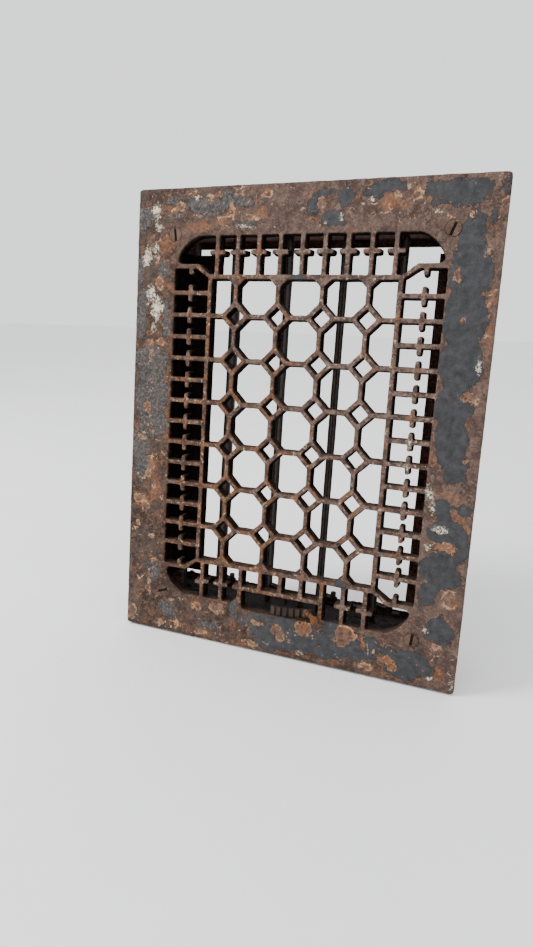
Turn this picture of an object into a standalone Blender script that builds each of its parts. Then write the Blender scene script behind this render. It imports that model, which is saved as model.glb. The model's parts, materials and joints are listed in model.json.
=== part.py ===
"""Louvred air grille: a cast-iron register with an openwork face, a box and four lever-worked louvres.

Metres, +Z up. The face looks along -Y, and the box runs back along +Y into the wall or duct.
The origin is the centre of the face plate, on the plane of the rim's back (Y = 0).
Angles of the blades, cranks and lever are degrees from the front direction (-Y) towards +X.
"""

import math

import bmesh
import bpy
from mathutils import Vector

# Driving dimensions of the face plate
FACE_WIDTH = 0.273
FACE_HEIGHT = 0.354
FACE_THICKNESS = 0.0065
FACE_CORNER_RADIUS = 0.0022
OPENING_HALF_WIDTH = 0.103
OPENING_HALF_HEIGHT = 0.1422
LATTICE_RECESS = 0.0002
LATTICE_BACK = 0.0027
LATTICE_LIP = 0.0016
RIM_OVERHANG = 0.0003
SEAT_DEPTH = 0.0005
SEAT_CLEARANCE = 0.0004

# Lattice: bars on a grid, with an open diamond at each inner crossing
BAR = 0.003
COLUMN_PITCH = 0.0336
ROW_PITCH = 0.0332
COLUMNS = 4
ROWS = 6
DIAMOND_REACH = 0.00965
FIELD_HALF_WIDTH = 0.0722
FIELD_HALF_HEIGHT = 0.1118
SPANDREL_CUT = 0.0052
STUD_REACH = 0.0062
STUD_POWER = 0.45
SIDE_STUD_X = 0.0886
TOP_STUD_Z = 0.1295
BOTTOM_STUD_Z = -0.1285
BAND_X = 0.0835
BAND_Z = 0.1195
CORNER_START_X = 0.082
CORNER_END_X = 0.1005
CORNER_TIP_Z = 0.125
CORNER_TIP_RADIUS = 0.004
CORNER_POWER = 1.5
WINDOW_DROP = 0.0036
WINDOW_CORNER_RADIUS = 0.005
WINDOW_RIM_RADIUS = 0.003
POST_FLARE_RADIUS = 0.0085

# Screws that hold the face to the lugs in the box's corners
SCREW_X = 0.1035
SCREW_Z = 0.143
SCREW_HEAD_RADIUS = 0.0056
SCREW_RADIUS = 0.0023
SCREW_LENGTH = 0.0155
SLOT_WIDTH = 0.0018
SLOT_DEPTH = 0.0014
SLOT_ANGLES = {"top_left": 82, "top_right": 110, "bottom_left": 160, "bottom_right": 96}

# Box behind the face
GAP = 0.0003
BOX_FRONT = GAP - SEAT_DEPTH
BOX_HALF_WIDTH = 0.1135
BOX_HALF_HEIGHT = 0.1512
BOX_DEPTH = 0.0535
SIDE_WALL = 0.0026
END_WALL = 0.0023
STOP_FLANGE_X = 0.091
STOP_FLANGE_Y = 0.0407
STOP_FLANGE_END_Z = 0.1365
REAR_LIP_Z = 0.1435
TAB_LENGTH = 0.014
JOIN_OVERLAP = 0.0008
LUG_INNER_X = 0.0986
LUG_INNER_Z = 0.1384
LUG_DEPTH = 0.024
TAPPED_DEPTH = 0.0115
RIVET_RADIUS = 0.002
RIVET_HEAD_RADIUS = 0.0036
RIVET_HEAD_HEIGHT = 0.0018
RIVET_Z = 0.142
FRONT_RIVET_Y = 0.018
REAR_RIVET_Y = 0.034

# Louvres and their linkage
LOUVRES = 4
LOUVRE_PITCH = 0.0446
LOUVRE_Y = 0.0315
LOUVRE_HALF_WIDTH = 0.022
LOUVRE_EDGE = 0.0019
LOUVRE_SPINE_RADIUS = 0.0031
LOUVRE_TOP = 0.1428
LOUVRE_BOTTOM = -0.1355
LOUVRE_ANGLE = 15
LOUVRE_TURN = 105
TRUNNION_RADIUS = 0.0025
TRUNNION_END = 0.152
CRANK_RADIUS = 0.015
CRANK_ANGLE = 64
CRANK_EAR = 0.0036
EAR_BOTTOM = -0.1353
EAR_TOP = -0.1326
LINK_PIN_RADIUS = 0.0017
LINK_PIN_HEAD = 0.0022
LINK_PIN_TOP = -0.128
LINK_BOTTOM = -0.1375
LINK_TOP = -0.1359
LINK_HALF_WIDTH = 0.003
LINK_END = 0.009

# Thumb lever
LEVER_Y = 0.0305
LEVER_ANGLE = 37.5
LEVER_TURN = 75
LEVER_HUB_RADIUS = 0.0065
LEVER_PIN_RADIUS = 0.0025
DRIVE_PIN_RADIUS = 0.002
ARM_BOTTOM = -0.1444
ARM_TOP = -0.1416
SECTOR_BOTTOM = -0.1452
SECTOR_TOP = -0.138
SECTOR_INNER = 0.0325
SECTOR_OUTER = 0.0355
SECTOR_SPAN = 49
RIDGES = 6
RIDGE_HEIGHT = 0.001
GROOVE_SHARE = 0.24
ARM_FROM, ARM_TO = -36, 3
ARM_SHOULDER_ANGLE, ARM_SHOULDER_RADIUS = 14, 0.024
ARM_ROOT_ANGLES, ARM_ROOT_RADIUS = (-38, 16), 0.012
ARM_HUB_HALF = 0.004
KNOB_Z = -0.141
KNOB_SEAT = 0.036
KNOB_BOSS_WALL = 0.0016
KNOB_CENTRE = 0.0515
KNOB_RADIUS = 0.0036
KNOB_WAIST_RADIUS = 0.0019
KNOB_FOOT_RADIUS = 0.0025
KNOB_SPIGOT_RADIUS = 0.0015
KNOB_SPIGOT_LENGTH = 0.0022
PIN_HEAD_RADIUS = 0.004
PIN_HEAD_HEIGHT = 0.0012
DRIVE_PIN_HEAD = 0.0008

ROUND_STEPS = 16
CORNERS = {"top_left": (-1, 1), "top_right": (1, 1), "bottom_left": (-1, -1), "bottom_right": (1, -1)}
WELD_DISTANCE = 0.000001

IRON_FACE = ("rusty_painted_iron", (0.13, 0.085, 0.065), 0.8, 0.3)
IRON_BOX = ("rusty_iron", (0.10, 0.055, 0.035), 0.85, 0.3)
IRON_LOUVRE = ("dark_iron", (0.05, 0.035, 0.03), 0.8, 0.4)
IRON_KNOB = ("orange_rust", (0.33, 0.14, 0.06), 0.85, 0.2)
STEEL_PIN = ("brown_steel", (0.14, 0.08, 0.055), 0.6, 0.7)


def clear_scene():
    for item in list(bpy.data.objects):
        bpy.data.objects.remove(item)


def new_collection(name):
    collection = bpy.data.collections.new(name)
    bpy.context.scene.collection.children.link(collection)
    return collection


def new_material(name, colour, roughness, metallic):
    """One Principled material for each finish, made the first time it is asked for."""
    material = bpy.data.materials.get(name)
    if material:
        return material
    material = bpy.data.materials.new(name)
    material.use_nodes = True
    shader = material.node_tree.nodes["Principled BSDF"]
    shader.inputs["Base Color"].default_value = (*colour, 1)
    shader.inputs["Roughness"].default_value = roughness
    shader.inputs["Metallic"].default_value = metallic
    material.diffuse_color = (*colour, 1)
    return material


def add_part(name, mesh, finish, location=(0, 0, 0), turn=0, tilt=0):
    """A named piece of the grille. turn is about Z and tilt about X, in degrees."""
    part = bpy.data.objects.new(name, mesh)
    part.location = location
    part.rotation_euler = (math.radians(tilt), 0, math.radians(turn))
    part.data.materials.append(new_material(*finish))
    PARTS.objects.link(part)
    return part


def combine(part, tool_mesh, operation, location=(0, 0, 0), tilt=0, side=0, parent=None, solver="EXACT"):
    """Cuts or joins a helper mesh. side turns the helper about Y and tilt about X, in degrees."""
    tool = bpy.data.objects.new(part.name + "_tool", tool_mesh)
    tool.location = location
    tool.rotation_euler = (math.radians(tilt), math.radians(side), 0)
    tool.parent = parent
    tool.hide_render = True
    tool.display_type = "WIRE"
    CUTTERS.objects.link(tool)
    modifier = part.modifiers.new(operation.lower(), "BOOLEAN")
    modifier.operation = operation
    modifier.object = tool
    modifier.solver = solver


def weld(mesh):
    work = bmesh.new()
    work.from_mesh(mesh)
    bmesh.ops.remove_doubles(work, verts=work.verts, dist=WELD_DISTANCE)
    bmesh.ops.recalc_face_normals(work, faces=work.faces)
    work.to_mesh(mesh)
    work.free()
    return mesh


def mesh_of(helper):
    """The evaluated mesh of a helper object, which is then removed."""
    bpy.context.scene.collection.objects.link(helper)
    graph = bpy.context.evaluated_depsgraph_get()
    mesh = bpy.data.meshes.new_from_object(helper.evaluated_get(graph))
    bpy.data.objects.remove(helper)
    return weld(mesh)


def extruded(outlines, thickness):
    """Closed outlines in local XY, the first one outside and the rest holes, centred on local z = 0."""
    curve = bpy.data.curves.new("outline", "CURVE")
    curve.dimensions = "2D"
    curve.fill_mode = "BOTH"
    curve.extrude = thickness / 2
    for outline in outlines:
        spline = curve.splines.new("POLY")
        spline.points.add(len(outline) - 1)
        for point, (x, y) in zip(spline.points, outline):
            point.co = (x, y, 0, 1)
        spline.use_cyclic_u = True
    return mesh_of(bpy.data.objects.new("outline", curve))


def turned(profile, steps=ROUND_STEPS):
    """A solid turned about local Z from (radius, height) points, top to bottom."""
    line = bpy.data.meshes.new("profile")
    points = [(radius, 0, height) for radius, height in profile]
    edges = [(i, i + 1) for i in range(len(points) - 1)]
    line.from_pydata(points, edges, [])
    helper = bpy.data.objects.new("profile", line)
    screw = helper.modifiers.new("turn", "SCREW")
    screw.steps = steps
    screw.render_steps = steps
    screw.use_merge_vertices = True
    screw.merge_threshold = WELD_DISTANCE
    mesh = mesh_of(helper)
    mesh.shade_smooth()
    mesh.set_sharp_from_angle(angle=math.radians(40))
    return mesh


def rod(radius, low, high, steps=ROUND_STEPS):
    return turned([(0, high), (radius, high), (radius, low), (0, low)], steps)


def box(low, high):
    work = bmesh.new()
    bmesh.ops.create_cube(work, size=1)
    for vertex in work.verts:
        vertex.co = [(a + b) / 2 + (b - a) * share for a, b, share in zip(low, high, vertex.co)]
    mesh = bpy.data.meshes.new("box")
    work.to_mesh(mesh)
    work.free()
    return mesh


def arc(centre_x, centre_y, radius, start, end, steps):
    """Points on an arc; angles in degrees anticlockwise from +x."""
    angles = [math.radians(start + (end - start) * i / steps) for i in range(steps + 1)]
    return [(centre_x + radius * math.cos(a), centre_y + radius * math.sin(a)) for a in angles]


def heading(angle, distance):
    """The point at that distance in a direction given in degrees from the front towards +X."""
    return (distance * math.sin(math.radians(angle)), -distance * math.cos(math.radians(angle)))


# Face plate


def rounded_rectangle(half_width, half_height, radius, steps=3):
    points = []
    for sign_x, sign_y, start in ((1, 1, 0), (-1, 1, 90), (-1, -1, 180), (1, -1, 270)):
        centre = (sign_x * (half_width - radius), sign_y * (half_height - radius))
        points += arc(*centre, radius, start, start + 90, steps)
    return points


def corner_curve(grow=0, steps=7):
    """The opening's upper right corner, a flattened quarter curve from its top edge round to its tip."""
    reach_x = CORNER_END_X - CORNER_START_X + grow
    reach_z = OPENING_HALF_HEIGHT - CORNER_TIP_Z + grow
    points = []
    for i in range(steps + 1):
        angle = math.radians(90 * (1 - i / steps))
        share_x = max(math.cos(angle), 0) ** (2 / CORNER_POWER)
        share_z = max(math.sin(angle), 0) ** (2 / CORNER_POWER)
        points.append((CORNER_START_X + reach_x * share_x, CORNER_TIP_Z + reach_z * share_z))
    return points


def opening_outline(grow):
    """The opening in the rim, with the lever's window hanging below its lower edge."""
    side = OPENING_HALF_WIDTH + grow
    right = corner_curve(grow) + [(side, BAND_Z)]
    lower_right = [(x, -z) for x, z in reversed(right)]
    window_x = COLUMN_PITCH - BAR / 2 + grow
    bottom = -OPENING_HALF_HEIGHT - grow
    window = [(window_x, bottom), (window_x, bottom - WINDOW_DROP)]
    radius = WINDOW_RIM_RADIUS
    window += arc(-window_x + radius, bottom - WINDOW_DROP + radius, radius, 270, 180, 3)
    window += [(-window_x, bottom)]
    lower_left = [(-x, z) for x, z in reversed(lower_right)]
    left = [(-x, z) for x, z in reversed(right)]
    return right + lower_right + window + lower_left + left


def stud_points(start, end, distance):
    """The blunt stud that stands into a cell from the edge start to end, distance along it."""
    along = (Vector(end) - Vector(start)).normalized()
    inward = Vector((-along.y, along.x))
    foot = Vector(start) + along * distance
    half = BAR / 2
    tip = foot + inward * (STUD_REACH - BAR / 2 - half)
    points = [foot - along * half]
    for angle in (180, 135, 90, 45, 0):
        cos, sin = math.cos(math.radians(angle)), math.sin(math.radians(angle))
        across = math.copysign(half * abs(cos) ** STUD_POWER, cos)
        points.append(tip + along * across + inward * half * sin**STUD_POWER)
    points.append(foot + along * half)
    return [tuple(point) for point in points]


def cell(left, right, bottom, top, cuts=(0, 0, 0, 0), rounds=(0, 0, 0, 0), studs=()):
    """One hole of the lattice, anticlockwise from its lower left corner.

    cuts and rounds are for the lower left, lower right, upper right and upper left corners.
    studs holds (side, place): side 0 is the bottom, 1 the right, 2 the top and 3 the left edge.
    """
    corners = [Vector(c) for c in ((left, bottom), (right, bottom), (right, top), (left, top))]
    points = []
    for i, corner in enumerate(corners):
        following = corners[(i + 1) % 4]
        ahead = (following - corner).normalized()
        behind = (corners[i - 1] - corner).normalized()
        if cuts[i]:
            points += [tuple(corner + behind * cuts[i]), tuple(corner + ahead * cuts[i])]
        elif rounds[i]:
            centre = corner + (behind + ahead) * rounds[i]
            points += arc(*centre, rounds[i], 180 + 90 * i, 270 + 90 * i, 4)
        else:
            points.append(tuple(corner))
        for side, place in studs:
            if side == i:
                distance = abs(place - (corner.x if side in (0, 2) else corner.y))
                points += stud_points(corner, following, distance)
    return points


def bar_lines(pitch, count, end):
    """Centre lines of the field's bars: the evenly spaced inner ones and the two at its edges."""
    return [-end] + [pitch * (i - (count - 1) / 2) for i in range(count)] + [end]


def field_cells():
    """Octagons and part octagons between the diamonds, with small filled corners at the ends."""
    lines_x = bar_lines(COLUMN_PITCH, COLUMNS, FIELD_HALF_WIDTH)
    lines_z = bar_lines(ROW_PITCH, ROWS, FIELD_HALF_HEIGHT)
    diamond_cut = DIAMOND_REACH + BAR / math.sqrt(2) - BAR
    cells = []
    for i in range(len(lines_x) - 1):
        for j in range(len(lines_z) - 1):
            cuts = []
            for a, b in ((i, j), (i + 1, j), (i + 1, j + 1), (i, j + 1)):
                inner_x = 0 < a < len(lines_x) - 1
                inner_z = 0 < b < len(lines_z) - 1
                cuts.append((diamond_cut if inner_z else SPANDREL_CUT) if inner_x else 0)
            half = BAR / 2
            cells.append(
                cell(lines_x[i] + half, lines_x[i + 1] - half, lines_z[j] + half, lines_z[j + 1] - half, cuts)
            )
    return cells


def diamond_holes():
    reach = DIAMOND_REACH - BAR / math.sqrt(2)
    holes = []
    for x in bar_lines(COLUMN_PITCH, COLUMNS, 0)[1:-1]:
        for z in bar_lines(ROW_PITCH, ROWS, 0)[1:-1]:
            holes.append([(x + reach, z), (x, z + reach), (x - reach, z), (x, z - reach)])
    return holes


def side_cells():
    """The right-hand ladder: plain cells between the rungs, and an end cell under each corner band."""
    half = BAR / 2
    inner, outer = FIELD_HALF_WIDTH + half, OPENING_HALF_WIDTH
    rungs = [ROW_PITCH / 2 * k for k in range(-ROWS, ROWS + 1)]
    both = ((0, SIDE_STUD_X), (2, SIDE_STUD_X))
    cells = [cell(inner, outer, low + half, high - half, studs=both) for low, high in zip(rungs, rungs[1:])]
    bottom, top = rungs[-1] + half, BAND_Z - half
    end = cell(inner, outer, bottom, top, studs=both)
    bend = (BAND_X + half / 2, top)
    foot = (inner, FIELD_HALF_HEIGHT - half / 2)
    end = end[:-1] + [bend, foot]
    cells += [end, [(x, -z) for x, z in reversed(end)]]
    return cells


def corner_hole():
    """The upper right corner hole, between the last upright, the corner band and the curved rim."""
    half = BAR / 2
    inner = COLUMN_PITCH / 2 * COLUMNS + half
    band_top = BAND_Z + half
    field_top = FIELD_HALF_HEIGHT + half
    stud = stud_points((inner, OPENING_HALF_HEIGHT), (inner, field_top), OPENING_HALF_HEIGHT - TOP_STUD_Z)
    radius = CORNER_TIP_RADIUS
    tip = arc(CORNER_END_X - radius, band_top + radius, radius, 0, -90, 3)[1:]
    rim = [(inner, OPENING_HALF_HEIGHT)] + corner_curve() + tip
    band = [(BAND_X - half / 2, band_top), (FIELD_HALF_WIDTH + half / 2, field_top), (inner, field_top)]
    return rim + band + list(reversed(stud))


def top_cells():
    half = BAR / 2
    low, high = FIELD_HALF_HEIGHT + half, OPENING_HALF_HEIGHT
    both = ((1, TOP_STUD_Z), (3, TOP_STUD_Z))
    cells = []
    for k in range(-COLUMNS, COLUMNS):
        left = COLUMN_PITCH / 2 * k + half
        right = COLUMN_PITCH / 2 * (k + 1) - half
        cells.append(cell(left, right, low, high, studs=both))
    return cells


def bottom_cells():
    """The lower ladder. A cross bar under its four middle cells leaves the lever's window below them."""
    half = BAR / 2
    high, low = -FIELD_HALF_HEIGHT - half, -OPENING_HALF_HEIGHT
    window_half = COLUMN_PITCH - half
    cells = []
    for k in range(-COLUMNS, COLUMNS):
        left = COLUMN_PITCH / 2 * k + half
        right = COLUMN_PITCH / 2 * (k + 1) - half
        over_window = -2 <= k < 2
        bottom = BOTTOM_STUD_Z + half if over_window else low
        studs = [] if over_window else [(1, BOTTOM_STUD_Z), (3, BOTTOM_STUD_Z)]
        if k == 2:
            studs = [(1, BOTTOM_STUD_Z)]
        rounds = (0, POST_FLARE_RADIUS, 0, 0) if k == -3 else (0, 0, 0, 0)
        cells.append(cell(left, right, bottom, high, rounds=rounds, studs=studs))
    rounds = (WINDOW_CORNER_RADIUS, 0, 0, 0)
    cells.append(cell(-window_half, window_half, low - WINDOW_DROP, BOTTOM_STUD_Z - half, rounds=rounds))
    return cells


def lattice_holes():
    side = side_cells()
    corner = corner_hole()
    lower_corner = [(x, -z) for x, z in corner]
    right = side + [corner, lower_corner]
    left = [[(-x, z) for x, z in hole] for hole in right]
    return field_cells() + diamond_holes() + right + left + top_cells() + bottom_cells()


def add_face_plate():
    """Rim and lattice in one casting. A shallow seat in the rim's back locates the box."""
    outer = rounded_rectangle(FACE_WIDTH / 2, FACE_HEIGHT / 2, FACE_CORNER_RADIUS)
    rim = extruded([outer, opening_outline(-RIM_OVERHANG)], FACE_THICKNESS)
    plate = add_part("face_plate", rim, IRON_FACE, (0, -FACE_THICKNESS / 2, 0), tilt=90)
    seat_x, seat_z = BOX_HALF_WIDTH + SEAT_CLEARANCE, BOX_HALF_HEIGHT + SEAT_CLEARANCE
    seat = box((-seat_x, -SEAT_DEPTH, -seat_z), (seat_x, FACE_THICKNESS, seat_z))
    combine(plate, seat, "DIFFERENCE", solver="MANIFOLD")
    front = LATTICE_RECESS - FACE_THICKNESS
    lattice = extruded([opening_outline(LATTICE_LIP)] + lattice_holes(), LATTICE_BACK - front)
    middle = (0, (LATTICE_BACK + front) / 2, 0)
    combine(plate, lattice, "UNION", middle, tilt=90, solver="MANIFOLD")
    reach = SCREW_HEAD_RADIUS + GAP * 1.5
    bore = SCREW_RADIUS + GAP
    above, below = 0.001, -FACE_THICKNESS - 0.001
    profile = [(0, above), (reach + above, above), (bore, bore - reach), (bore, below), (0, below)]
    countersink = turned(profile)
    for sign_x, sign_z in CORNERS.values():
        place = (sign_x * SCREW_X, -FACE_THICKNESS, sign_z * SCREW_Z)
        combine(plate, countersink, "DIFFERENCE", place, tilt=90, solver="MANIFOLD")


def add_face_screws():
    """Slotted countersunk screws, flush with the face."""
    radius, reach = SCREW_RADIUS, SCREW_HEAD_RADIUS
    sunk = -0.0001
    profile = [
        (0, sunk),
        (reach + sunk, sunk),
        (radius, radius - reach),
        (radius, 0.001 - SCREW_LENGTH),
        (radius - 0.001, -SCREW_LENGTH),
        (0, -SCREW_LENGTH),
    ]
    for corner, (sign_x, sign_z) in CORNERS.items():
        place = (sign_x * SCREW_X, -FACE_THICKNESS, sign_z * SCREW_Z)
        screw = add_part("face_screw_" + corner, turned(profile), IRON_FACE, place, tilt=90)
        slot = box((-reach * 1.2, -SLOT_WIDTH / 2, -SLOT_DEPTH), (reach * 1.2, SLOT_WIDTH / 2, 0.001))
        slot.transform(turn_about_z(SLOT_ANGLES[corner]))
        combine(screw, slot, "DIFFERENCE", place, tilt=90)


def turn_about_z(angle):
    cos, sin = math.cos(math.radians(angle)), math.sin(math.radians(angle))
    return ((cos, -sin, 0, 0), (sin, cos, 0, 0), (0, 0, 1, 0), (0, 0, 0, 1))


# Box


def add_side_wall(name, sign):
    """A long wall with a flange turned in at the louvres' back edges, to close the gap beside them."""
    outer = BOX_HALF_WIDTH
    inner = outer - SIDE_WALL
    low = (min(sign * inner, sign * outer), BOX_FRONT, -BOX_HALF_HEIGHT)
    high = (max(sign * inner, sign * outer), BOX_DEPTH, BOX_HALF_HEIGHT)
    wall = add_part(name, box(low, high), IRON_BOX)
    ends = sorted((sign * STOP_FLANGE_X, sign * (inner + JOIN_OVERLAP)))
    reach = STOP_FLANGE_END_Z
    flange = box((ends[0], STOP_FLANGE_Y, -reach), (ends[1], STOP_FLANGE_Y + SIDE_WALL, reach))
    combine(wall, flange, "UNION")
    bore = rod(RIVET_RADIUS + GAP, -SIDE_WALL, SIDE_WALL)
    for y in (FRONT_RIVET_Y, REAR_RIVET_Y):
        for z in (RIVET_Z, -RIVET_Z):
            combine(wall, bore, "DIFFERENCE", (sign * (inner + SIDE_WALL / 2), y, z), side=90)


def add_end_wall(name, sign):
    """A short wall with a tab at each end for the rivets, a rear lip, and a hole for each trunnion."""
    outer = BOX_HALF_HEIGHT
    inner = outer - END_WALL
    half = BOX_HALF_WIDTH - SIDE_WALL - 2 * GAP
    lows, highs = sorted((sign * inner, sign * outer))
    wall = add_part(name, box((-half, BOX_FRONT, lows), (half, BOX_DEPTH, highs)), IRON_BOX)
    joined = sign * (inner + JOIN_OVERLAP)
    tab_end = sign * (inner - TAB_LENGTH)
    tab_z = sorted((joined, tab_end))
    for side in (-1, 1):
        tab_x = sorted((side * (half - GAP), side * (half - GAP - END_WALL)))
        tab = box((tab_x[0], BOX_FRONT + GAP, tab_z[0]), (tab_x[1], STOP_FLANGE_Y - 2 * GAP, tab_z[1]))
        combine(wall, tab, "UNION")
        bore = rod(RIVET_RADIUS + GAP, -2 * END_WALL, 2 * END_WALL)
        for y in (FRONT_RIVET_Y, REAR_RIVET_Y):
            middle = (side * (half - GAP - END_WALL / 2), y, sign * RIVET_Z)
            combine(wall, bore, "DIFFERENCE", middle, side=90)
    lip_z = sorted((joined, sign * REAR_LIP_Z))
    lip_back = BOX_DEPTH - GAP
    lip = box((GAP - half, lip_back - END_WALL, lip_z[0]), (half - GAP, lip_back, lip_z[1]))
    combine(wall, lip, "UNION")
    bore = rod(TRUNNION_RADIUS + GAP, -END_WALL, END_WALL)
    for x in louvre_places():
        combine(wall, bore, "DIFFERENCE", (x, LOUVRE_Y, sign * (inner + END_WALL / 2)))
    return wall


def add_corner_lug(corner):
    """A tapped block in a corner of the box, for a face screw. A rivet crosses its rear part."""
    sign_x, sign_z = CORNERS[corner]
    outer_x = BOX_HALF_WIDTH - SIDE_WALL - 4 * GAP - END_WALL
    outer_z = BOX_HALF_HEIGHT - END_WALL - GAP
    xs = sorted((sign_x * LUG_INNER_X, sign_x * outer_x))
    zs = sorted((sign_z * LUG_INNER_Z, sign_z * outer_z))
    block = box((xs[0], BOX_FRONT, zs[0]), (xs[1], LUG_DEPTH, zs[1]))
    lug = add_part("corner_lug_" + corner, block, IRON_BOX)
    tapped = rod(SCREW_RADIUS + GAP, -TAPPED_DEPTH, 2 * SEAT_DEPTH)
    combine(lug, tapped, "DIFFERENCE", (sign_x * SCREW_X, GAP, sign_z * SCREW_Z), tilt=90)
    bore = rod(RIVET_RADIUS + GAP, -0.01, 0.01)
    middle = (xs[0] + xs[1]) / 2
    combine(lug, bore, "DIFFERENCE", (middle, FRONT_RIVET_Y, sign_z * RIVET_Z), side=90)


def add_corner_rivets():
    """Two rivets at each corner: the front one also holds the lug."""
    outer_face = BOX_HALF_WIDTH + GAP
    tab_face = BOX_HALF_WIDTH - SIDE_WALL - 4 * GAP - END_WALL
    number = 0
    for sign_x, sign_z in CORNERS.values():
        for y, inner_face in ((FRONT_RIVET_Y, LUG_INNER_X - GAP), (REAR_RIVET_Y, tab_face)):
            number += 1
            profile = rivet_head(outer_face, 1) + rivet_head(inner_face, -1)
            rivet = add_part("corner_rivet_%d" % number, turned(profile), STEEL_PIN)
            rivet.rotation_euler = (0, math.radians(90 * sign_x), 0)
            rivet.location = (0, y, sign_z * RIVET_Z)


def rivet_head(face, sign):
    """Profile of a domed head that stands on a face, listed from top to bottom."""
    points = [(RIVET_RADIUS, face), (RIVET_HEAD_RADIUS, face)]
    for angle in (30, 60, 90):
        turn = math.radians(angle)
        rise = RIVET_HEAD_HEIGHT * math.sin(turn)
        points.append((max(RIVET_HEAD_RADIUS * math.cos(turn), 0), face + sign * rise))
    points[-1] = (0, points[-1][1])
    return points if sign < 0 else list(reversed(points))


# Louvres and linkage


def louvre_places():
    return [LOUVRE_PITCH * (i - (LOUVRES - 1) / 2) for i in range(LOUVRES)]


def blade_outline():
    """Cross-section of a blade, its front edge at -y: thin edges and a round spine on the axis."""
    edge = LOUVRE_EDGE / 2
    spine = LOUVRE_SPINE_RADIUS
    reach = LOUVRE_HALF_WIDTH
    half = [(edge * 0.6, -reach), (edge, edge - reach), (edge * 1.2, -spine * 1.7)]
    half += arc(0, 0, spine, -50, 50, 4)
    half += [(edge * 1.2, spine * 1.7), (edge, reach - edge), (edge * 0.6, reach)]
    return half + [(-x, -y) for x, y in half]


def ear_outline():
    """The crank ear, from the spine out to the eye round the link pin."""
    x, y = heading(CRANK_ANGLE - LOUVRE_ANGLE, CRANK_RADIUS)
    direction = math.degrees(math.atan2(y, x))
    root = LOUVRE_SPINE_RADIUS * 0.9
    eye = arc(x, y, CRANK_EAR, direction - 90, direction + 90, 6)
    return eye + arc(0, 0, root, direction + 90, direction + 270, 4)


def add_louvres():
    """Blades that turn on trunnions in the end walls, each with its link pin fixed in its ear."""
    crank = heading(CRANK_ANGLE, CRANK_RADIUS)
    ear_middle = (EAR_TOP + EAR_BOTTOM) / 2
    for number, x in enumerate(louvre_places(), start=1):
        height = LOUVRE_TOP - LOUVRE_BOTTOM
        blade = extruded([blade_outline()], height)
        middle = (LOUVRE_TOP + LOUVRE_BOTTOM) / 2
        shift_up(blade, middle)
        louvre = add_part("louvre_%d" % number, blade, IRON_LOUVRE, (x, LOUVRE_Y, 0), turn=LOUVRE_ANGLE)
        ear = extruded([ear_outline()], EAR_TOP - EAR_BOTTOM)
        combine(louvre, shift_up(ear, ear_middle), "UNION", parent=louvre)
        inside = 0.004
        combine(louvre, rod(TRUNNION_RADIUS, LOUVRE_TOP - inside, TRUNNION_END), "UNION", parent=louvre)
        combine(louvre, rod(TRUNNION_RADIUS, -TRUNNION_END, LOUVRE_BOTTOM + inside), "UNION", parent=louvre)
        bore = rod(LINK_PIN_RADIUS + GAP, EAR_BOTTOM - inside, EAR_TOP + inside)
        combine(louvre, bore, "DIFFERENCE", (x + crank[0], LOUVRE_Y + crank[1], 0))
        add_link_pin(number, (x + crank[0], LOUVRE_Y + crank[1], 0))


def shift_up(mesh, height):
    for vertex in mesh.vertices:
        vertex.co.z += height
    return mesh


def add_link_pin(number, place):
    seat = EAR_TOP + GAP
    profile = [
        (0, LINK_PIN_TOP),
        (LINK_PIN_HEAD * 0.8, LINK_PIN_TOP),
        (LINK_PIN_HEAD, LINK_PIN_TOP - 0.0005),
        (LINK_PIN_HEAD, seat),
        (LINK_PIN_RADIUS, seat),
        (LINK_PIN_RADIUS, LINK_BOTTOM - 0.0001),
        (0, LINK_BOTTOM - 0.0001),
    ]
    add_part("link_pin_%d" % number, turned(profile, 12), STEEL_PIN, place, turn=LOUVRE_ANGLE)


def drive_radius():
    """Radius of the drive pin that carries the link bar as far as the cranks do over the full turn."""
    crank_travel = math.sin(math.radians(CRANK_ANGLE)) - math.sin(math.radians(CRANK_ANGLE - LOUVRE_TURN))
    pin_travel = math.sin(math.radians(LEVER_ANGLE)) - math.sin(math.radians(LEVER_ANGLE - LEVER_TURN))
    return CRANK_RADIUS * crank_travel / pin_travel


def drive_offsets(samples=50):
    """Where the drive pin sits from the first crank pin, at steps through the full turn."""
    places = []
    for i in range(samples + 1):
        share = i / samples
        crank = heading(CRANK_ANGLE - LOUVRE_TURN * share, CRANK_RADIUS)
        pin = heading(LEVER_ANGLE - LEVER_TURN * share, drive_radius())
        first = (louvre_places()[0] + crank[0], LOUVRE_Y + crank[1])
        places.append((pin[0] - first[0], LEVER_Y + pin[1] - first[1]))
    return places


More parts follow.
